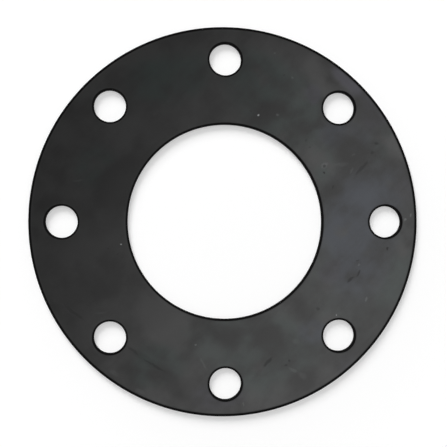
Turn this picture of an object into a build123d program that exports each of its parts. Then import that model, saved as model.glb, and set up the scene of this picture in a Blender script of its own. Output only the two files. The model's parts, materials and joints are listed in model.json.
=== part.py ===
from build123d import *
import os

# A full-face gasket for a bolted pipe flange, cut from flat black rubber sheet.
#
# The gasket is one piece: a flat ring as wide as the flange, with a bore in
# line with the pipe and a circle of holes for the flange bolts. It lies on its
# lower face. The origin is the centre of that face, +Z is up and one bolt hole
# is on +X. Sizes are in millimetres.

# The outline is the flange standard's, for its 4 inch pipe size. It grows
# outwards from the bore: a sealing band, the bolts' centre line, and enough
# rubber outside the bolts that a hole can't tear through to the rim.
bore_diameter = 114.3  # 4 1/2 in
sealing_width = 38.1  # 1 1/2 in, from the bore to the bolts' centre line
edge_distance = 19.05  # 3/4 in, from that line to the rim
bolt_circle_diameter = bore_diameter + 2 * sealing_width  # 7 1/2 in
outer_diameter = bolt_circle_diameter + 2 * edge_distance  # 9 in
bolt_count = 8
# A 3/4 in punch leaves the hole a little under size, because rubber stretches
# ahead of the punch and springs back behind it.
bolt_hole_diameter = 18.6
sheet_thickness = 3.175  # 1/8 in

# A cut edge in rubber shows which side the blade came from. The blade drags
# the skin down where it goes in, and leaves the edge sharp where it comes out.
knife_round = 0.4  # along the rim and the bore, which a knife cuts
punch_bevel = 0.25  # round the bolt holes, from the punch's ground shoulder

with BuildPart() as gasket:
    # The ring, which the knife cuts out of the sheet with two circles.
    with BuildSketch(Plane.XY):
        Circle(outer_diameter / 2)
        Circle(bore_diameter / 2, mode=Mode.SUBTRACT)
    extrude(amount=sheet_thickness)
    knife_entry = gasket.faces().sort_by(Axis.Z)[-1]
    fillet(knife_entry.edges(), radius=knife_round)

    # The bolt holes, punched through from the same side.
    with Locations(Plane.XY.offset(sheet_thickness)):
        with PolarLocations(bolt_circle_diameter / 2, bolt_count):
            Hole(bolt_hole_diameter / 2, depth=sheet_thickness)
    punch_entry = gasket.edges(Select.LAST).group_by(Axis.Z)[-1]
    chamfer(punch_entry, length=punch_bevel)

gasket.part.label = "gasket"

os.makedirs("parts", exist_ok=True)
export_step(gasket.part, "parts/gasket.step")
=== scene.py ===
# %% [markdown]
# # A rubber flange gasket
#
# A full-face gasket is a flat ring of black rubber sheet, squeezed between two
# bolted pipe flanges. The bore lets the flow through and the ring of holes lets
# the bolts through. It is a plain thing, so its look rests on three details:
# the section of its cut edges, the soft grey bloom on its rolled faces, and the
# way that a wide, dull highlight crosses it.
#
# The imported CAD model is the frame. It gives every size used below, in metres,
# with the lower face at z = 0 and one bolt hole on +X.

# %% The frame and the tools
import json
import math

import bmesh
import bpy
from mathutils import Matrix, Vector, noise


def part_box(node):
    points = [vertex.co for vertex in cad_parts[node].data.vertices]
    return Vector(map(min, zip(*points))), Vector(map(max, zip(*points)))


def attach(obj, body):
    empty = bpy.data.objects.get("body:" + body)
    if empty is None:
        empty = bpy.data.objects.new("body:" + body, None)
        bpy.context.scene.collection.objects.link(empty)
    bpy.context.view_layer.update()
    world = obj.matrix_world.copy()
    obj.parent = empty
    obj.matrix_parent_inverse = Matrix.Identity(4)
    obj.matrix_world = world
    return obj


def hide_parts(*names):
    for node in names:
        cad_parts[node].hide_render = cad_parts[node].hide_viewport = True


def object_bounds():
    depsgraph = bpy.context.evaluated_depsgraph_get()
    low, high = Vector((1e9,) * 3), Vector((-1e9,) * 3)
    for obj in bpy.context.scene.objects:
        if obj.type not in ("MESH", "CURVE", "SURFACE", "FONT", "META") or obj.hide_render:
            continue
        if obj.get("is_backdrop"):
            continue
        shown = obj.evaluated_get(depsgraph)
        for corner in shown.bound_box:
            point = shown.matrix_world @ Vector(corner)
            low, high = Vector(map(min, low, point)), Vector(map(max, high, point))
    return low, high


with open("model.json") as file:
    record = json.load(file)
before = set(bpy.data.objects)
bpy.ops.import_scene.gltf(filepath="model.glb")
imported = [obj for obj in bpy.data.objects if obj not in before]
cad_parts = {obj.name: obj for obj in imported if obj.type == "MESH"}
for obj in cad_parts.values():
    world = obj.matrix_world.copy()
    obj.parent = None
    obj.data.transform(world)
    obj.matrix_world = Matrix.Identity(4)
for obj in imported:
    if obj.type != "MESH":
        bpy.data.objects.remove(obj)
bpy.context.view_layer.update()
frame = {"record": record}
MM = 0.001

# %% [markdown]
# The sizes that a flange fitter would ask for are the mounts in the record:
# the bore, and the circle of bolt holes. Reading them from there, and the rest
# from the node's box, means that this script follows the CAD model if that
# changes, instead of repeating its numbers.

# %% Sizes, read from the frame
mounts = {mount["name"]: mount["dims"] for mount in frame["record"]["mounts"]}
low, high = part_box("gasket")
rim_radius = high.x
thickness = high.z - low.z
bore_radius = mounts["bore"]["r_mm"] * MM
bolt_circle_radius = mounts["bolt_holes"]["pcd_mm"] / 2 * MM
hole_radius = mounts["bolt_holes"]["hole_r_mm"] * MM
hole_count = mounts["bolt_holes"]["count"]
hole_centres = [
    Matrix.Rotation(math.tau * i / hole_count, 3, "Z") @ Vector((bolt_circle_radius, 0, 0))
    for i in range(hole_count)
]
radii = {"rim": rim_radius, "bore": bore_radius, "hole": hole_radius}
print("radii in mm:", {name: round(radius / MM, 3) for name, radius in radii.items()})

# %% [markdown]
# The camera comes before the modelling, so that every later choice can be
# judged in the right view. It looks almost straight down from half a metre,
# from a little to the left, with a fairly long lens. From there the two
# faces of the sheet stay nearly in register, and only a thread of the cut wall
# shows inside each hole.

# %% Camera
camera_place = Vector((-33.4, -0.5, 500)) * MM
camera_aim = Vector((-1.1, -1.0, 3.2)) * MM
lens_length = 68.35  # mm, on the usual 36 mm sensor


def facing(direction, top):
    """The rotation of a camera or lamp that looks along a direction, with its upper side towards top."""
    back = -direction.normalized()
    right = top.cross(back).normalized()
    return Matrix((right, back.cross(right), back)).transposed().to_euler()


camera_data = bpy.data.cameras.new("camera")
camera_data.lens = lens_length
camera = bpy.data.objects.new("camera", camera_data)
camera.location = camera_place
camera.rotation_euler = facing(camera_aim - camera_place, top=Vector((0, 1, 0)))
bpy.context.scene.collection.objects.link(camera)
bpy.context.scene.camera = camera
bpy.context.scene.view_settings.view_transform = "Standard"
print("camera height in mm:", round(camera.location.z / MM))

# %% [markdown]
# ## The sheet
#
# The real gasket starts as flat sheet. A ring like this could be cut from a
# disc with booleans, but they leave long thin triangles that shade badly on a
# glossy face. Instead, one radial line of vertices is spun round the bore, as
# a compass would sweep it. That gives an even grid of small quads, with close
# rings beside the bore and the rim, where the edges will need them.

# %% A radial line, spun into a flat ring
grid_steps = 360  # about 1.7 mm at the bolt circle
rings_inside, rings_outside = 24, 12  # circles between bore and bolt circle, and from there to the rim
edge_lead = 1.1 * MM  # width of each close ring beside the bore and the bolt holes
rim_lead = 1.45 * MM  # and beside the rim, where the painted edge shade is wider


def spun_ring():
    """A flat ring of quads, with two close rings beside the bore and two beside the rim."""
    sheet = bmesh.new()
    stations = [bore_radius, bore_radius + 2 * edge_lead, bolt_circle_radius,
                rim_radius - 2 * rim_lead, rim_radius]
    cuts = [1, rings_inside - 2, rings_outside - 2, 1]
    line = [sheet.verts.new((station, 0, 0)) for station in stations]
    spans = [sheet.edges.new(ends) for ends in zip(line, line[1:])]
    for span, count in zip(spans, cuts):
        bmesh.ops.subdivide_edges(sheet, edges=[span], cuts=count)
    bmesh.ops.spin(
        sheet, geom=sheet.verts[:] + sheet.edges[:], cent=(0, 0, 0), axis=(0, 0, 1),
        angle=math.tau, steps=grid_steps, use_merge=True,
    )
    return sheet


sheet = spun_ring()
print("flat ring:", len(sheet.faces), "quads")

# %% [markdown]
# ## The bolt holes
#
# Each hole is punched out of the grid. A square block of quads is taken away
# round its centre, and a circle with as many vertices as the block's border
# has is bridged to that border. The hole is then truly round, and every face
# stays a quad. Two narrow rings are pulled inwards from the circle to the
# punch line, so that the soft edge made later has rings to run along.

# %% Punch one hole
block_cells = 8  # half the block's width, in cells of the grid
cell_width = (rim_radius - bore_radius) / (rings_inside + rings_outside)
cell_angle = math.tau / grid_steps
spoke_cuts = 3


def in_block(face, centre):
    """Whether a face lies in the square block of cells round a hole's centre."""
    middle = face.calc_center_median()
    across = abs(middle.length - bolt_circle_radius)
    around = middle.angle(centre)
    return across < block_cells * cell_width and around < block_cells * cell_angle


def pull_inwards(sheet, ring, centre):
    """Two close rings of quads, from the circle inwards to the punch line."""
    for wider, narrower in ((2, 1), (1, 0)):
        pulled = bmesh.ops.extrude_edge_only(sheet, edges=ring)["geom"]
        shrink = (hole_radius + narrower * edge_lead) / (hole_radius + wider * edge_lead)
        verts = [part for part in pulled if isinstance(part, bmesh.types.BMVert)]
        bmesh.ops.scale(sheet, vec=(shrink, shrink, 1), space=Matrix.Translation(-centre), verts=verts)
        ring = [edge for edge in sheet.edges
                if edge.is_boundary and all(vert in verts for vert in edge.verts)]


def punch_hole(sheet, centre):
    """Swap a block of the grid for a round hole with spokes out to the block's border."""
    block = [face for face in sheet.faces if in_block(face, centre)]
    border = [edge for face in block for edge in face.edges
              if any(neighbour not in block for neighbour in edge.link_faces)]
    bmesh.ops.delete(sheet, geom=block, context="FACES")

    ring = bmesh.ops.create_circle(
        sheet, segments=len(border), radius=hole_radius + 2 * edge_lead,
        matrix=Matrix.Translation(centre) @ Matrix.Rotation(math.atan2(centre.y, centre.x), 4, "Z"),
    )["verts"]
    outer_ring = list(dict.fromkeys(edge for vert in ring for edge in vert.link_edges))
    pull_inwards(sheet, outer_ring, centre)
    spokes = bmesh.ops.bridge_loops(sheet, edges=border + outer_ring)["edges"]
    bmesh.ops.subdivide_edges(sheet, edges=spokes, cuts=spoke_cuts, use_grid_fill=True)


for centre in hole_centres:
    punch_hole(sheet, centre)
cut_length = sum(edge.calc_length() for edge in sheet.edges if edge.is_boundary)
print("punched ring:", len(sheet.faces), "faces; length of all cuts in mm:", round(cut_length / MM, 1))

# %% [markdown]
# ## Thickness and cut edges
#
# The flat ring becomes a solid sheet when its faces are extruded upwards and
# the originals are kept as the underside. The cut edges are what show that it
# is rubber. Going in, the blade drags the skin down before it breaks through,
# so the upper edges are soft, and the face dips a little beside them. Coming
# out it leaves the lower edges crisp. The wall between is slightly hollow,
# because the rubber bulged while it was cut and sprang back afterwards.

# %% Give the sheet its thickness and round the upper edges
knife_round = 0.4 * MM  # rim and bore
punch_round = 0.25 * MM  # bolt holes
round_segments = 4
steep = 0.5  # the sine of 30 degrees: a face whose normal rises less is part of a wall
same_place = 0.01 * MM  # places closer together than this count as one


def thicken(sheet):
    """Raise a copy of the flat ring by the sheet's thickness, with walls all round."""
    raised = bmesh.ops.extrude_face_region(sheet, geom=sheet.faces[:], use_keep_orig=True)["geom"]
    raised_verts = [part for part in raised if isinstance(part, bmesh.types.BMVert)]
    bmesh.ops.translate(sheet, vec=(0, 0, thickness), verts=raised_verts)
    bmesh.ops.recalc_face_normals(sheet, faces=sheet.faces)


def is_wall(face):
    return abs(face.normal.z) < steep


def cut_edges(sheet, height, punched):
    """Edges where a face meets a wall: those of the bolt holes if punched, else of the rim and the bore."""
    found = []
    for edge in sheet.edges:
        middle = (edge.verts[0].co + edge.verts[1].co) / 2
        between = [is_wall(face) for face in edge.link_faces] in ([True, False], [False, True])
        at_hole = abs(middle.xy.length - bolt_circle_radius) < hole_radius + same_place
        if between and abs(middle.z - height) < same_place and at_hole == punched:
            found.append(edge)
    return found


def round_upper_edges(sheet, width, punched):
    bmesh.ops.bevel(
        sheet, geom=cut_edges(sheet, thickness, punched), offset=width, offset_type="OFFSET",
        affect="EDGES", segments=round_segments, profile=0.5, material=-1,
    )


thicken(sheet)
round_upper_edges(sheet, knife_round, punched=False)
round_upper_edges(sheet, punch_round, punched=True)
for edge in cut_edges(sheet, 0, punched=False) + cut_edges(sheet, 0, punched=True):
    edge.smooth = False
print("solid sheet:", len(sheet.faces), "faces; closed:", all(edge.is_manifold for edge in sheet.edges))

# %% [markdown]
# The wall gets a few rows of vertices and is drawn in towards the rubber, most
# at mid height. It is only a tenth of a millimetre, but it keeps the wall from
# catching the light as a flat one would.

# %% Hollow the walls
wall_rows = 3
wall_hollow = 0.08 * MM
nearly_level = 0.1  # the normals of a wall's own vertices rise less than this
lower_share, upper_share = 0.1, 0.9  # of the wall's height, between which its new rows lie


def hollow_walls(sheet):
    """Draw the walls in along their normals, by a parabola that is 0 at both ends and 1 at mid height."""
    sides = [edge for edge in sheet.edges if abs(edge.verts[0].co.z - edge.verts[1].co.z) > thickness / 2]
    bmesh.ops.subdivide_edges(sheet, edges=sides, cuts=wall_rows, use_grid_fill=True)
    sheet.normal_update()
    wall_height = thickness - knife_round
    for vert in sheet.verts:
        up = vert.co.z / wall_height
        if abs(vert.normal.z) < nearly_level and lower_share < up < upper_share:
            vert.co -= vert.normal * wall_hollow * 4 * up * (1 - up)


hollow_walls(sheet)
print("with rows on its walls:", len(sheet.faces), "faces")

# %% [markdown]
# The face's dip at the cuts, and the slight waves that any sheet keeps from
# the roll it was stored on, are smooth functions of place, so they are plain
# vertex moves. They are small too, but a dull highlight shows them well. How
# far each point is from a cut is kept on the mesh as an attribute, because the
# finish of the skin changes there.

# %% Dip the face at the cuts, and let the sheet lie
dip_depth, dip_reach = 0.07 * MM, 0.6 * MM
waves = [(0.1 * MM, 80 * MM), (0.03 * MM, 24 * MM)]  # height and length of each


def distance_to_cut(place):
    """How far a point of the sheet is from the nearest cut edge: the rim, the bore or a bolt hole."""
    radius = place.xy.length
    to_hole = min((place.xy - centre.xy).length for centre in hole_centres) - hole_radius
    return max(0, min(rim_radius - radius, radius - bore_radius, to_hole))


def distance_in_rings(place):
    """The same in mm, but the rim's wider close ring counts only as much as the others."""
    to_rim = (rim_radius - place.xy.length) * edge_lead / rim_lead
    return max(0, min(distance_to_cut(place), to_rim)) / MM


def let_lie(sheet):
    """Dip and wave the sheet, set its lowest point on the ground and give it its thickness again."""
    for vert in sheet.verts:
        height = vert.co.z / thickness
        vert.co.z -= height * dip_depth * math.exp(-distance_to_cut(vert.co) / dip_reach)
        vert.co.z += sum(size * noise.noise(Vector((*vert.co.xy, 0)) / length) for size, length in waves)
    lowest = min(vert.co.z for vert in sheet.verts)
    bmesh.ops.translate(sheet, vec=(0, 0, -lowest), verts=sheet.verts)
    highest = max(vert.co.z for vert in sheet.verts)
    bmesh.ops.scale(sheet, vec=(1, 1, thickness / highest), verts=sheet.verts)


from_cut = sheet.verts.layers.float.new("from_cut")  # in mm
for vert in sheet.verts:
    vert[from_cut] = distance_in_rings(vert.co)
let_lie(sheet)
print("finished sheet:", len(sheet.faces), "faces; volume in cm3:", round(sheet.calc_volume() * 1e6, 2))

# %% [markdown]
# The mesh becomes an object at the origin, where the CAD node is, and stands
# for that node. Two finishes meet on it, so its faces are sorted into two
# material slots: the rolled skin, and the bare rubber of the cut walls. The
# narrow ring beside each cut gets the bare rubber too, as painted edge shade:
# it draws a dark outline along every cut.

# %% The gasket as an object
ROLLED, CUT = 0, 1
edge_shade_width = 1.01 * edge_lead / MM  # mm; one close ring, and a hair for rounding
# faces within one close ring of a cut get the die-cut black, as painted edge shade
for face in sheet.faces:
    face.smooth = True
    bare = max(vert[from_cut] for vert in face.verts) < edge_shade_width
    face.material_index = CUT if bare else ROLLED
gasket_mesh = bpy.data.meshes.new("gasket_sheet")
sheet.to_mesh(gasket_mesh)
sheet.free()
gasket = bpy.data.objects.new("gasket_sheet", gasket_mesh)
bpy.context.scene.collection.objects.link(gasket)
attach(gasket, "root")
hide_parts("gasket")
print("triangles:", sum(len(polygon.vertices) - 2 for polygon in gasket_mesh.polygons))

# %% [markdown]
# ## Materials
#
# Colours are written as the sRGB hex values that a colour picker gives, and
# one function turns them into the linear values that shaders work in. One
# more function adds a node, with its settings and whatever feeds it.

# %% Helpers for colours and nodes
def hex_colour(text):
    """The linear colour, with an alpha of 1, for an sRGB value such as #0b0b0b."""
    parts = [int(text[i:i + 2], 16) / 255 for i in (1, 3, 5)]
    linear = [part / 12.92 if part <= 0.04045 else ((part + 0.055) / 1.055) ** 2.4 for part in parts]
    return (*linear, 1)


def add_node(tree, kind, inputs=None, **settings):
    """A shader node of a kind, such as Math. Each of its inputs takes a value or another node's output."""
    node = tree.nodes.new("ShaderNode" + kind)
    for name, value in settings.items():
        setattr(node, name, value)
    for socket, value in (inputs or {}).items():
        if isinstance(value, bpy.types.NodeSocket):
            tree.links.new(value, node.inputs[socket])
        else:
            node.inputs[socket].default_value = value
    return node


def new_material(name):
    material = bpy.data.materials.new(name)
    material.use_nodes = True
    material.node_tree.nodes.clear()
    return material, material.node_tree


RAW_BLACK = hex_colour("#0b0b0b")  # rubber filled with carbon black, with nothing on it
RUBBER_IOR = 1.52
print("raw black, linear:", [round(part, 4) for part in RAW_BLACK[:3]])

# %% [markdown]
# ### Calendered rubber
#
# Commercial black sheet is styrene-butadiene or chloroprene rubber, filled
# with carbon black and squeezed flat between the rolls of a calender. The skin
# is a dull semi-matt black. In time a little wax works out of it as a grey
# bloom, which lies in soft clouds and is wiped into faint streaks by handling.
# Where it is thick, the skin is a little smoother, so the clouds show in the
# highlight as well as outside it. Beside the cuts the bloom is left off and
# the raw black shows, a dark outline that is painted edge shade.
#
# All of this is a matter of how much bloom lies where, so one mask of it
# drives both the colour and the roughness. Noise alone would give clouds
# anywhere. A real sheet has its own, where hands have been and where it lay
# against others, so soft ellipses are added where they are wanted. A few of
# them are painted sheen and painted shade: they lighten the rim at the upper
# left and darken the face beside the bore on the left, where the highlight
# fades. Noise pushes their outlines about, and they are thin in Z, so that
# they stay on the upper face. Everything is written in millimetres.

# %% Soft spots on the upper face
spot_depth = 1.5  # mm, half a spot's thickness in Z


def place_in_mm(tree):
    place = add_node(tree, "TexCoord").outputs["Object"]
    return add_node(tree, "VectorMath", {0: place, "Scale": 1 / MM}, operation="SCALE").outputs[0]


def ragged(tree, place, size, reach):
    """The place, pushed sideways by noise, so that a spot's outline is uneven.

    Noise keeps to the middle half of its range, so 4 times the reach pushes by about the reach."""
    pushes = add_node(tree, "TexNoise", {"Vector": place, "Scale": 1 / size, "Detail": 2})
    centred = add_node(tree, "VectorMath", {0: pushes.outputs["Color"], 1: (0.5, 0.5, 0.5)},
                       operation="SUBTRACT")
    return add_node(tree, "VectorMath", {0: centred.outputs[0], 1: (4 * reach, 4 * reach, 0), 2: place},
                    operation="MULTIPLY_ADD").outputs[0]


def soft_spots(tree, place, spots, fade):
    """Ellipses that rise from 0 at their outline to their strength, over a share of them called the fade.

    A spot is x, y, length and width in mm, its turn in degrees, and its strength."""
    total = 0
    for x, y, length, width, turn, strength in spots:
        inside = add_node(tree, "Mapping",
                          {"Vector": place, "Location": (x, y, thickness / MM),
                           "Rotation": (0, 0, math.radians(turn)),
                           "Scale": (length / 2, width / 2, spot_depth)}, vector_type="TEXTURE")
        spot = add_node(tree, "TexGradient", {"Vector": inside.outputs[0]}, gradient_type="SPHERICAL")
        shown = add_node(tree, "MapRange",
                         {"Value": spot.outputs["Fac"], "From Max": fade, "To Max": strength},
                         interpolation_type="SMOOTHSTEP")
        total = add_node(tree, "Math", {0: total, 1: shown.outputs[0]}, operation="MAXIMUM").outputs[0]
    return total


print("spots reach down", spot_depth, "of the", round(thickness / MM, 3), "mm")

# %% Where the bloom is thick and where it is wiped, with painted sheen and shade
bloom_and_painted_sheen_patches = [
    (-82, -16, 46, 24, 15, 1.2), (-38, -57, 58, 40, -50, 1.7), (-54, 94, 52, 20, 20, 1.4),
    # the spot at -78, 82 is painted sheen, lighter along the rim at the upper left
    (-57, 55, 34, 26, 20, 1.1), (-78, 82, 42, 20, 45, 1.8), (28, 95, 50, 22, -15, 0.7),
    (57, 36, 28, 42, 0, 0.9), (85, 15, 42, 30, 20, 0.7), (62, -5, 24, 54, 0, 0.7),
    (25, -98, 44, 32, 0, 0.7), (99, -42, 40, 22, 60, 0.8), (55, 86, 54, 18, -50, 1.4),
    (-12, -75, 36, 15, 0, 0.6), (-30, 96, 60, 20, 12, 0.5), (-88, 45, 34, 26, 0, 0.5),
    (-22, -87, 24, 20, 0, 0.5), (-46, -80, 26, 20, 0, 0.8), (100, 50, 50, 16, 116, 0.9),
    (105, -26, 30, 12, 76, 0.6), (-36, -105, 40, 14, -20, 0.8), (71, 84, 30, 11, -46, 1.6),
    (86, -30, 24, 16, 0, 0.7)]
wiped_and_painted_shade_patches = [
    # the spots at -58, 24 and -62, 10 are painted shade beside the bore on the left, where the highlight
    # fades
    (-58, 24, 40, 60, -35, 2.2), (24, -65, 50, 26, -25, 0.8), (50, -94, 34, 26, 25, 1),
    (79, 43, 44, 38, 0, 0.65), (30, 66, 44, 20, 10, 1), (-70, -35, 20, 30, 0, 0.8),
    (-97, -50, 42, 16, -35, 0.8), (-38, -90, 30, 16, -30, 0.6), (-102, 8, 24, 28, 0, 0.9),
    (-28, 70, 22, 30, 0, 0.5), (82, -72, 26, 40, -45, 1.2), (64, 18, 16, 18, 0, 0.6),
    (-98, 42, 22, 18, 0, 0.6), (33, 80, 30, 24, -30, 0.9), (43, 56, 24, 22, 0, 0.7),
    (62, -22, 24, 32, 0, 0.7), (84, 30, 28, 16, 0, 0.6), (48, -54, 36, 20, -40, 0.6),
    (4, -67, 34, 22, 0, 1), (-62, 10, 14, 32, 0, 1)]
print("bloomed and wiped patches:", len(bloom_and_painted_sheen_patches), "and", len(wiped_and_painted_shade_patches))

# %% The mask of the bloom
cloud_size, patch_size = 24, 8  # mm
streak_length, streak_width, streak_angle = 36, 4, math.radians(45)
streak_depth = 10  # mm, so that a streak doesn't change across the thickness
patch_share, streak_share = 0.3, 0.16  # of the noise; the rest is clouds
thin_noise, thick_noise = 0.42, 0.6  # the noise that counts as no bloom, and as whole bloom
thin_sum, thick_sum = -0.5, 1.5  # the same, once patches are added and taken away


def bloom_noise(tree, place):
    """Clouds, smaller patches in them, and streaks across both: about 0 where thin and 1 where thick."""
    clouds = add_node(tree, "TexNoise",
                      {"Vector": place, "Scale": 1 / cloud_size, "Detail": 3, "Distortion": 0.5})
    patches = add_node(tree, "TexNoise",
                       {"Vector": place, "Scale": 1 / patch_size, "Detail": 6, "Roughness": 0.7})
    along = add_node(tree, "Mapping",
                     {"Vector": place, "Rotation": (0, 0, streak_angle),
                      "Scale": (streak_length, streak_width, streak_depth)}, vector_type="TEXTURE")
    streaks = add_node(tree, "TexNoise",
                       {"Vector": along.outputs[0], "Scale": 1, "Detail": 4, "Roughness": 0.6})
    mottled = add_node(tree, "Mix",
                       {"Factor": patch_share, "A": clouds.outputs["Fac"], "B": patches.outputs["Fac"]})
    mixed = add_node(tree, "Mix",
                     {"Factor": streak_share, "A": mottled.outputs[0], "B": streaks.outputs["Fac"]})
    return add_node(tree, "MapRange",
                    {"Value": mixed.outputs[0], "From Min": thin_noise, "From Max": thick_noise},
                    clamp=False).outputs[0]


def bloom_mask(tree, place, drifting):
    """The noise and the patches added up, then eased in at both ends so that no patch comes out flat."""
    bloomed = soft_spots(tree, drifting, bloom_and_painted_sheen_patches, fade=1)
    wiped = soft_spots(tree, drifting, wiped_and_painted_shade_patches, fade=1)
    more = add_node(tree, "Math", {0: bloom_noise(tree, place), 1: bloomed}, operation="ADD")
    summed = add_node(tree, "Math", {0: more.outputs[0], 1: wiped}, operation="SUBTRACT")
    return add_node(tree, "MapRange",
                    {"Value": summed.outputs[0], "From Min": thin_sum, "From Max": thick_sum},
                    interpolation_type="SMOOTHSTEP").outputs[0]


print("clouds, patches and streaks, in mm:", cloud_size, patch_size, (streak_length, streak_width))

# %% [markdown]
# Wax bloom is faintly coloured. Most of it is neutral, and some patches have a
# greenish cast. On the right, where the sheen is strongest, the bloom is bluer,
# with a little violet at its borders: a painted cool tint of the highlight.
# The casts are placed as the patches are, and broken up by noise.

# %% Colours of the bloom, and a painted tint of the sheen
NEUTRAL_BLOOM, GREEN_BLOOM = hex_colour("#242424"), hex_colour("#1b2523")
# blue and violet are a painted cool tint of the sheen on the right
BLUE_SHEEN_TINT, VIOLET_SHEEN_TINT = hex_colour("#1f242d"), hex_colour("#25242c")
cast_size = 14  # mm
green_patches = [
    (32, 70, 90, 56, -35, 1), (-32, 84, 64, 36, 15, 0.7), (26, -78, 90, 56, 20, 1), (-40, -84, 44, 34, 0, 1),
    (-76, 32, 30, 34, 0, 0.6), (90, 46, 20, 34, 0, 1), (100, -36, 20, 60, -20, 1), (58, 36, 18, 36, 0, 0.8),
    (8, -70, 80, 44, 0, 0.7), (78, -18, 90, 180, 0, 0.5)]
# where the sheen's cool tint is painted
blue_sheen_tint_patches = [
    (80, -4, 56, 110, -5, 1), (72, 50, 44, 24, -10, 1), (94, 18, 40, 44, 0, 1), (52, -64, 24, 18, 0, 0.8)]
violet_sheen_tint_patches = [
    (76, 83, 50, 16, -46, 1), (88, 64, 20, 30, 0, 1), (52, 77, 14, 14, 0, 0.8), (106, 22, 12, 22, 0, 1),
    (63, -28, 16, 18, 0, 0.9), (-4, -104, 40, 18, 0, 0.9), (72, -82, 24, 10, 40, 0.8)]
casts = [  # each with the noise below which there is none of it, and above which it is whole
    (GREEN_BLOOM, green_patches, 0.3, 0.45), (BLUE_SHEEN_TINT, blue_sheen_tint_patches, 0.2, 0.4),
    (VIOLET_SHEEN_TINT, violet_sheen_tint_patches, 0.2, 0.4)]


def skin_colour(tree, place, drifting, bloom):
    """Raw black where there is no bloom, and the bloom's own colour where it is thick, with a painted cool
    tint of the sheen on the right.
    """
    broken = add_node(tree, "TexNoise", {"Vector": place, "Scale": 1 / cast_size, "Detail": 2})
    tint = NEUTRAL_BLOOM
    for cast, patches, none, whole in casts:
        drifts = add_node(tree, "MapRange",
                          {"Value": broken.outputs["Fac"], "From Min": none, "From Max": whole})
        placed = soft_spots(tree, drifting, patches, fade=0.5)
        share = add_node(tree, "Math", {0: drifts.outputs[0], 1: placed}, operation="MULTIPLY")
        tint = add_node(tree, "Mix", {"Factor": share.outputs[0], 6: tint, 7: cast},
                        data_type="RGBA").outputs[2]
    return add_node(tree, "Mix", {"Factor": bloom, 6: RAW_BLACK, 7: tint}, data_type="RGBA").outputs[2]


print("green, blue and violet patches:", [len(patches) for _, patches, _, _ in casts])

# %% [markdown]
# The smaller marks of a used sheet are spots of the same kind, with crisper
# edges: pale ones are dust, talc and scuffs, dark ones are nicks and scratches
# through the bloom, and a row of long dark ones is a crease where the sheet
# was once folded, with wide faint ones beside it as painted shade of the bend.
# A dark spot within a pale one is a pit with a raised lip, its dark partly
# painted shade in the pit.

# %% Marks
pale_marks = [
    (19.5, 63, 1.6, 1.5, 0, 0.6), (-61, -13.2, 1.5, 1.3, 0, 0.6), (-17.5, -72.3, 1.6, 1.4, 0, 0.14),
    (66, -55.2, 1.4, 1.2, 0, 0.35), (30.9, 63.2, 3, 2.2, 0, 0.07), (29, 99, 2, 1.8, 0, 0.05),
    (39.5, 85, 2, 1.8, 0, 0.06), (58.7, 33.3, 5.6, 4.4, 20, 0.075), (68.9, 34, 12, 4, 4, 0.028),
    (75, 30.4, 5, 2, 55, 0.035), (76, 39.6, 5, 1.6, 30, 0.03), (79.3, -25.6, 2, 2, 0, 0.06),
    (83.8, -45.8, 4, 1.8, 84, 0.08), (107.3, 1, 3, 1.6, 40, 0.12), (110.6, 4, 3, 1.6, 62, 0.1),
    (40, -87.4, 8, 2.8, -25, 0.035), (45.6, -90.6, 8, 5, -35, 0.028), (-13, -83, 12, 1.8, -60, 0.03),
    (41.8, -71, 6, 4.4, 0, 0.022), (10.6, -107.3, 1.6, 3.6, 0, 0.05), (-85.5, 24, 8, 1.4, 5, 0.03),
    (-72.9, -53, 8, 1.4, 0, 0.025), (-65, -88, 8, 4, -30, 0.03), (-50, -99, 8, 4, -30, 0.03)]
dark_marks = [
    (81, 32, 13, 2.6, 47, 0.45), (74.2, -34.2, 6, 1.8, 48, 0.6), (79, -30.7, 5.5, 1.6, 62, 0.6),
    # the spot at 58.7, 33.1 is partly painted shade in a pit
    (25, -82.5, 10, 2.6, 47, 0.6), (58.7, 33.1, 2.6, 2.2, 0, 1), (58.4, 29.2, 2, 1.8, 0, 0.8),
    (64, 20.3, 3, 1.4, 60, 0.6), (47.7, 48, 1.8, 1.8, 0, 0.5), (49.8, 43.9, 1.8, 1.4, 0, 0.5),
    (37.9, -81.8, 2, 1.4, 60, 0.7), (35.9, -84.7, 2.2, 1.4, 0, 0.6), (89.7, 46.5, 2.8, 2.6, 0, 0.5),
    (87.5, 41.1, 2.6, 2.2, 0, 0.45), (54.7, -51.3, 3, 2.4, 0, 0.4), (96.3, -15.8, 1.4, 2.8, 0, 0.8),
    (78.7, -22.9, 3, 1.4, 0, 0.5), (34.7, 86.3, 2.2, 1.4, 45, 0.5), (21.3, 67.9, 2.2, 1.4, 30, 0.5),
    (14.8, 64.9, 1.8, 1.8, 0, 0.5), (-32.1, 71, 5, 2.6, 60, 0.35), (-58.9, 17.2, 3.5, 3, 0, 0.4),
    (-68.5, -15.6, 1.6, 1.4, 0, 0.6), (-62.7, -18.9, 1.6, 1.4, 0, 0.6)]
# the two wide, faint spots here are painted shade beside the fold; the narrow ones are its line
crease_with_painted_shade = [
    (-88.4, -52.4, 20, 2.6, -37, 0.9), (-88, -54, 24, 8, -35, 0.3), (-53.5, -75.4, 11, 2, -38, 0.7),
    (-42, -83.6, 20, 2, -30, 0.7), (-47, -80, 34, 6, -33, 0.3)]
print("pale and dark marks:", len(pale_marks), "and", len(dark_marks + crease_with_painted_shade))

# %% Painted edge shade, and relief
edge_shade_start, edge_shade_end = 0.8, 1.7  # mm from a cut, where bloom begins after the painted edge shade, and where it is whole
wave_size, wave_relief = 20, 0.25  # mm
grain_size, grain_relief = 0.8, 0.017  # mm; the real grain is finer, and is drawn as coarse as it can show
scratch_depth = 0.02  # mm


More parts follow.
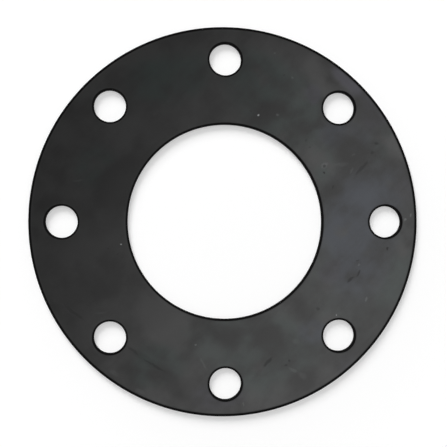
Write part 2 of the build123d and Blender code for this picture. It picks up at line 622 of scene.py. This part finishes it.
def whole_skin(tree, scratches_and_painted_shade):
    """1 where the skin still holds its bloom, and 0 in the painted edge shade beside a cut, and in a scratch
    or the painted shade of the crease.
    """
    distance = add_node(tree, "Attribute", attribute_name="from_cut").outputs["Fac"]
    clear = add_node(tree, "MapRange",
                     {"Value": distance, "From Min": edge_shade_start, "From Max": edge_shade_end},
                     interpolation_type="SMOOTHSTEP")
    left = add_node(tree, "Math", {0: clear.outputs[0], 1: scratches_and_painted_shade}, operation="SUBTRACT")
    return add_node(tree, "Math", {0: left.outputs[0], 1: 0}, operation="MAXIMUM").outputs[0]


def skin_relief(tree, place, scratches_and_painted_shade):
    """Long waves from the rolls, a fine grain, and the scratches, as heights in mm."""
    height = add_node(tree, "Math", {0: scratches_and_painted_shade, 1: -scratch_depth}, operation="MULTIPLY").outputs[0]
    for size, relief, detail in ((wave_size, wave_relief, 1), (grain_size, grain_relief, 2)):
        pattern = add_node(tree, "TexNoise", {"Vector": place, "Scale": 1 / size, "Detail": detail})
        height = add_node(tree, "Math", {0: pattern.outputs["Fac"], 1: relief, 2: height},
                          operation="MULTIPLY_ADD").outputs[0]
    return add_node(tree, "Bump", {"Height": height, "Strength": 1, "Distance": MM}).outputs[0]


print("waves and grain, size and relief in mm:", (wave_size, wave_relief), (grain_size, grain_relief))

# %% The rolled skin's material
DUST_GREY = hex_colour("#a0a3a4")
bare_roughness, waxy_roughness, rubbed_roughness = 0.42, 0.29, 0.7


def calendered_rubber():
    material, tree = new_material("calendered_black_rubber")
    place = place_in_mm(tree)
    drifting = ragged(tree, place, size=18, reach=3)  # for the patches
    uneven = ragged(tree, place, size=3, reach=0.5)  # for the marks
    scratches_and_painted_shade = soft_spots(tree, uneven, dark_marks + crease_with_painted_shade, fade=0.5)
    dusty = soft_spots(tree, uneven, pale_marks, fade=0.7)
    whole = whole_skin(tree, scratches_and_painted_shade)
    mask = bloom_mask(tree, place, drifting)
    bloom = add_node(tree, "Math", {0: mask, 1: whole}, operation="MULTIPLY").outputs[0]
    clean = skin_colour(tree, place, drifting, bloom)
    colour = add_node(tree, "Mix", {"Factor": dusty, 6: clean, 7: DUST_GREY}, data_type="RGBA")
    waxy = add_node(tree, "MapRange", {"Value": bloom, "To Min": bare_roughness, "To Max": waxy_roughness})
    dullness = add_node(tree, "Mix", {"Factor": whole, "A": rubbed_roughness, "B": waxy.outputs[0]})
    surface = add_node(tree, "BsdfPrincipled",
                       {"Base Color": colour.outputs[2], "Roughness": dullness.outputs[0],
                        "Normal": skin_relief(tree, place, scratches_and_painted_shade), "IOR": RUBBER_IOR})
    add_node(tree, "OutputMaterial", {"Surface": surface.outputs[0]})
    return material


gasket_mesh.materials.append(calendered_rubber())
print("material:", gasket_mesh.materials[ROLLED].name)

# %% [markdown]
# ### Die-cut rubber
#
# A cut wall has no skin. The blade leaves bare, dead-matt black with fine
# upright drag lines, so it hardly reflects at all, and it looks darker than
# the face from every side. The lines run with the blade's stroke: the noise
# that makes them is squeezed along the sheet and stretched along the
# thickness.

# %% Cut walls
CUT_BLACK = hex_colour("#0c0c0c")
drag_line_width, drag_line_length, drag_line_depth = 0.4, 5, 0.05  # mm
drag_line_strength = 0.6  # below 1, because the flat of the blade smooths its own lines
cut_roughness, cut_gloss = 0.85, 0.06  # a torn surface, with next to no highlight


def die_cut_rubber():
    material, tree = new_material("die_cut_black_rubber")
    upright = add_node(tree, "Mapping",
                       {"Vector": place_in_mm(tree),
                        "Scale": (drag_line_width, drag_line_width, drag_line_length)}, vector_type="TEXTURE")
    lines = add_node(tree, "TexNoise", {"Vector": upright.outputs[0], "Scale": 1, "Detail": 3}).outputs["Fac"]
    tone = add_node(tree, "Mix", {"Factor": lines, 6: CUT_BLACK, 7: RAW_BLACK}, data_type="RGBA")
    relief = add_node(tree, "Bump", {"Height": lines, "Strength": drag_line_strength,
                                     "Distance": drag_line_depth * MM})
    surface = add_node(tree, "BsdfPrincipled",
                       {"Base Color": tone.outputs[2], "Roughness": cut_roughness,
                        "Normal": relief.outputs[0], "IOR": RUBBER_IOR, "Specular IOR Level": cut_gloss})
    add_node(tree, "OutputMaterial", {"Surface": surface.outputs[0]})
    return material


gasket_mesh.materials.append(die_cut_rubber())
print("material:", gasket_mesh.materials[CUT].name)

# %% [markdown]
# ## Studio
#
# Black rubber shows its form by what it reflects, so its light and its
# highlight are set apart, as crossed polarisers do in a real studio. A low
# key lamp at the far side lights the sheet and lays a soft shadow beside it,
# and a fill high above softens that. Neither is seen in reflection. A broad
# white card, close by at the near right, is seen only in reflection: the dull
# skin mirrors it as a sheen that fades to the left.
#
# A lamp's strength is written as a level: how bright it alone makes a white
# card that lies on the floor. Key, fill and sky add up to 1, so a colour comes
# out about as it is written. The sheen card lights nothing, so its level is
# only that of the highlight.

# %% Lamps
key_level, fill_level, sky_level = 0.57, 0.22, 0.21
sheen_level = 0.735
CARD_WHITE = hex_colour("#fdfdfd")
window = 114  # degrees, the side that the light comes from


def soft_lamp(name, azimuth, elevation, distance, spread, level):
    """A square lamp that faces the gasket from a distance in metres, spread degrees wide as seen from it.

    The azimuth is counted from +X towards +Y. The energy comes from the level,
    by the law for a card that lies flat under a lamp at this height."""
    data = bpy.data.lights.new(name, "AREA")
    data.size = 2 * distance * math.tan(math.radians(spread / 2))
    data.energy = level * (math.pi * distance) ** 2 / math.sin(math.radians(elevation))
    lamp = bpy.data.objects.new(name, data)
    turn = Matrix.Rotation(math.radians(azimuth), 3, "Z") @ Matrix.Rotation(-math.radians(elevation), 3, "Y")
    lamp.location = turn @ Vector((distance, 0, 0))
    lamp.rotation_euler = facing(-lamp.location, top=Vector((0, 0, 1)))
    lamp.visible_camera = False
    bpy.context.scene.collection.objects.link(lamp)
    return lamp


key = soft_lamp("key_lamp", azimuth=window, elevation=31, distance=6, spread=28, level=key_level)
key.visible_glossy = False
fill = soft_lamp("fill_lamp", azimuth=window, elevation=80, distance=3, spread=30, level=fill_level)
fill.visible_glossy = False
sheen = soft_lamp("sheen_card", azimuth=-28, elevation=56, distance=1, spread=64, level=sheen_level)
sheen.visible_diffuse = False
sheen.data.color = CARD_WHITE[:3]

# %% [markdown]
# What lights the object and what is seen behind it are told apart by Light
# Path. The sky lights at its level, but a mirror would see white walls up to
# about 20 degrees and a dark ceiling above 50, which keeps the face black when
# seen from above and lets it pale in a low view, as real sheet does. The floor
# is pale paper that glows just enough, where it is seen, to come out white
# while the shadow stays. The lamps reach less far than the floor does, so
# its glow rises with distance.

# %% World
WHITE = (1, 1, 1, 1)
wall_top, ceiling_start = 0.35, 0.75  # sines of the two heights as angles
white_walls, dark_ceiling = 1.0, 0.06  # how bright a mirror would see them


def seen_directly(tree):
    """1 for what the camera, a mirror or a window shows, and 0 for what lights the object."""
    path = add_node(tree, "LightPath")
    seen = path.outputs["Is Camera Ray"]
    for ray in ("Is Glossy Ray", "Is Transmission Ray"):
        seen = add_node(tree, "Math", {0: seen, 1: path.outputs[ray]}, operation="MAXIMUM").outputs[0]
    return seen


def studio_world():
    world = bpy.data.worlds.new("studio")
    world.use_nodes = True
    tree = world.node_tree
    tree.nodes.clear()
    direction = add_node(tree, "TexCoord").outputs["Generated"]
    height = add_node(tree, "SeparateXYZ", {0: direction}).outputs[2]
    wall = add_node(tree, "MapRange",
                    {"Value": height, "From Min": wall_top, "From Max": ceiling_start,
                     "To Min": white_walls, "To Max": dark_ceiling})
    strength = add_node(tree, "Mix", {"Factor": seen_directly(tree), "A": sky_level, "B": wall.outputs[0]})
    light = add_node(tree, "Background", {"Color": WHITE, "Strength": strength.outputs[0]})
    add_node(tree, "OutputWorld", {"Surface": light.outputs[0]})
    bpy.context.scene.world = world


studio_world()
print("key, fill and sky add up to", round(key_level + fill_level + sky_level, 2))

# %% Floor
PAPER = hex_colour("#d3d3d3")
floor_side = 8  # metres
floor_gap = 0.02 * MM  # below the sheet, so that the two faces don't show through each other
near_floor, far_floor = 0.12, 1.0  # metres from the gasket's middle, between which the glow rises
near_glow, far_glow = 0.388, 1.0


def white_paper():
    material, tree = new_material("white_paper")
    paper = add_node(tree, "BsdfDiffuse", {"Color": PAPER})
    place = add_node(tree, "TexCoord").outputs["Object"]
    away = add_node(tree, "VectorMath", {0: place}, operation="LENGTH").outputs["Value"]
    needed = add_node(tree, "MapRange",
                      {"Value": away, "From Min": near_floor, "From Max": far_floor,
                       "To Min": near_glow, "To Max": far_glow})
    strength = add_node(tree, "Math", {0: seen_directly(tree), 1: needed.outputs[0]}, operation="MULTIPLY")
    glow = add_node(tree, "Emission", {"Color": WHITE, "Strength": strength.outputs[0]})
    both = add_node(tree, "AddShader", {0: paper.outputs[0], 1: glow.outputs[0]})
    add_node(tree, "OutputMaterial", {"Surface": both.outputs[0]})
    return material


def studio_floor():
    plane = bmesh.new()
    bmesh.ops.create_grid(plane, x_segments=1, y_segments=1, size=floor_side / 2)
    bmesh.ops.translate(plane, vec=(0, 0, -floor_gap), verts=plane.verts)
    mesh = bpy.data.meshes.new("floor")
    plane.to_mesh(mesh)
    plane.free()
    mesh.materials.append(white_paper())
    floor = bpy.data.objects.new("floor", mesh)
    bpy.context.scene.collection.objects.link(floor)
    floor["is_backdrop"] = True
    return floor


print("floor in metres:", [round(side, 2) for side in studio_floor().dimensions])

# %% [markdown]
# ## The finished size
#
# The box of the finished piece is printed, in millimetres. The finished
# piece has to keep to the CAD model's box.

# %% Sizes, and the end
low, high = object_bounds()
print("visual box in mm:", [round(side / MM, 3) for side in high - low])
